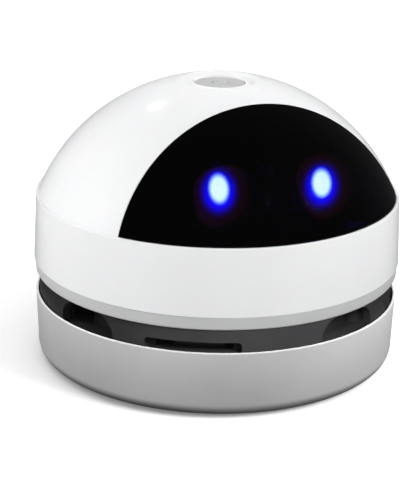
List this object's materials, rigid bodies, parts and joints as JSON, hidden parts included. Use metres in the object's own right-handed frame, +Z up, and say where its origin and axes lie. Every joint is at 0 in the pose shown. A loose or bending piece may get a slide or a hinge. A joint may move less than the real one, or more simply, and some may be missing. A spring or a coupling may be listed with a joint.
{
  "type": "desktop vacuum cleaner",
  "caption": "Round battery-type desktop vacuum cleaner: domed housing with a smoked visor and lights, top push button, ring of exhaust openings, and a twist-off dust bowl with a suction mouth.",
  "frame": {"origin": "on the desk, on the cleaner's axis", "axes": "+Z up along the axis, -Y towards the face with the lights, +X to the right of someone who looks along +Y"},
  "size_m": [0.0886, 0.0886, 0.068],
  "materials": {
    "white_gloss": "glossy white",
    "smoked_window": "glossy smoked",
    "grey_satin": "satin grey",
    "button_grey": "satin light grey",
    "dark_satin": "satin dark grey",
    "black_matte": "matt black",
    "fan_grey": "satin grey",
    "steel": "plain steel",
    "zinc_screw": "zinc-plated",
    "bronze": "sintered bronze",
    "copper": "enamelled copper",
    "ferrite": "matt ferrite grey",
    "nickel": "nickel",
    "cell_wrap": "blue wrap",
    "board_green": "solder mask",
    "chip_black": "moulded resin",
    "led_white": "clear resin",
    "light_blue": "milky diffuser",
    "cup_maroon": "glossy maroon",
    "rubber_black": "matt rubber",
    "foam_grey": "matt seal",
    "mesh_grey": "fine woven mesh",
    "bristle_dark": "nylon"
  },
  "bodies": {
    "housing": {"dome_shell": "white_gloss", "body_band": "white_gloss", "visor": "smoked_window", "trim_ring": "grey_satin", "exhaust_drum": "dark_satin", "motor_deck": "black_matte", "motor_can": "steel", "motor_end_cap": "black_matte", "motor_bushes": "bronze", "motor_magnets": "ferrite", "motor_terminals": "nickel", "switch_body": "chip_black", "switch_board": "board_green", "switch_screws": "zinc_screw", "battery_cell": "cell_wrap", "battery_strips": "nickel", "battery_cradle": "black_matte", "battery_strap": "black_matte", "main_board": "board_green", "board_parts": "chip_black", "charging_socket": "nickel", "socket_tongue": "chip_black", "led_bracket": "black_matte", "led_board": "board_green", "led_chips": "led_white", "eye_lens_left": "light_blue", "eye_lens_right": "light_blue", "light_cup_left": "cup_maroon", "light_cup_right": "cup_maroon", "led_screws": "zinc_screw", "deck_screws": "zinc_screw", "case_screws": "zinc_screw"},
    "button": {"power_button": "button_grey", "switch_plunger": "black_matte", "button_spring": "steel"},
    "rotor": {"motor_shaft": "steel", "motor_armature": "steel", "motor_windings": "copper", "motor_commutator": "copper", "impeller": "fan_grey"},
    "bowl": {"dust_bowl": "grey_satin", "glide_pads": "rubber_black", "filter_frame": "black_matte", "filter_mesh": "mesh_grey", "filter_seal": "foam_grey", "bottom_plate": "dark_satin", "plate_screws": "zinc_screw", "brush_strips": "black_matte", "brush_tufts": "bristle_dark"}
  },
  "joints": [
    {"name": "button_press", "type": "slide", "parent": "housing", "child": "button", "axis": [0, 0, -1], "range_m": [0, 0.0012], "stiffness_N_per_m": 250, "springref_m": -0.0006, "deforming": ["button_spring"]},
    {"name": "rotor_spin", "type": "hinge", "parent": "housing", "child": "rotor", "pos_m": [0, 0, 0.03], "axis": [0, 0, 1], "continuous": true},
    {"name": "bowl_twist", "type": "hinge", "parent": "housing", "child": "bowl", "pos_m": [0, 0, 0.008], "axis": [0, 0, 1], "range_deg": [0, 18]}
  ]
}
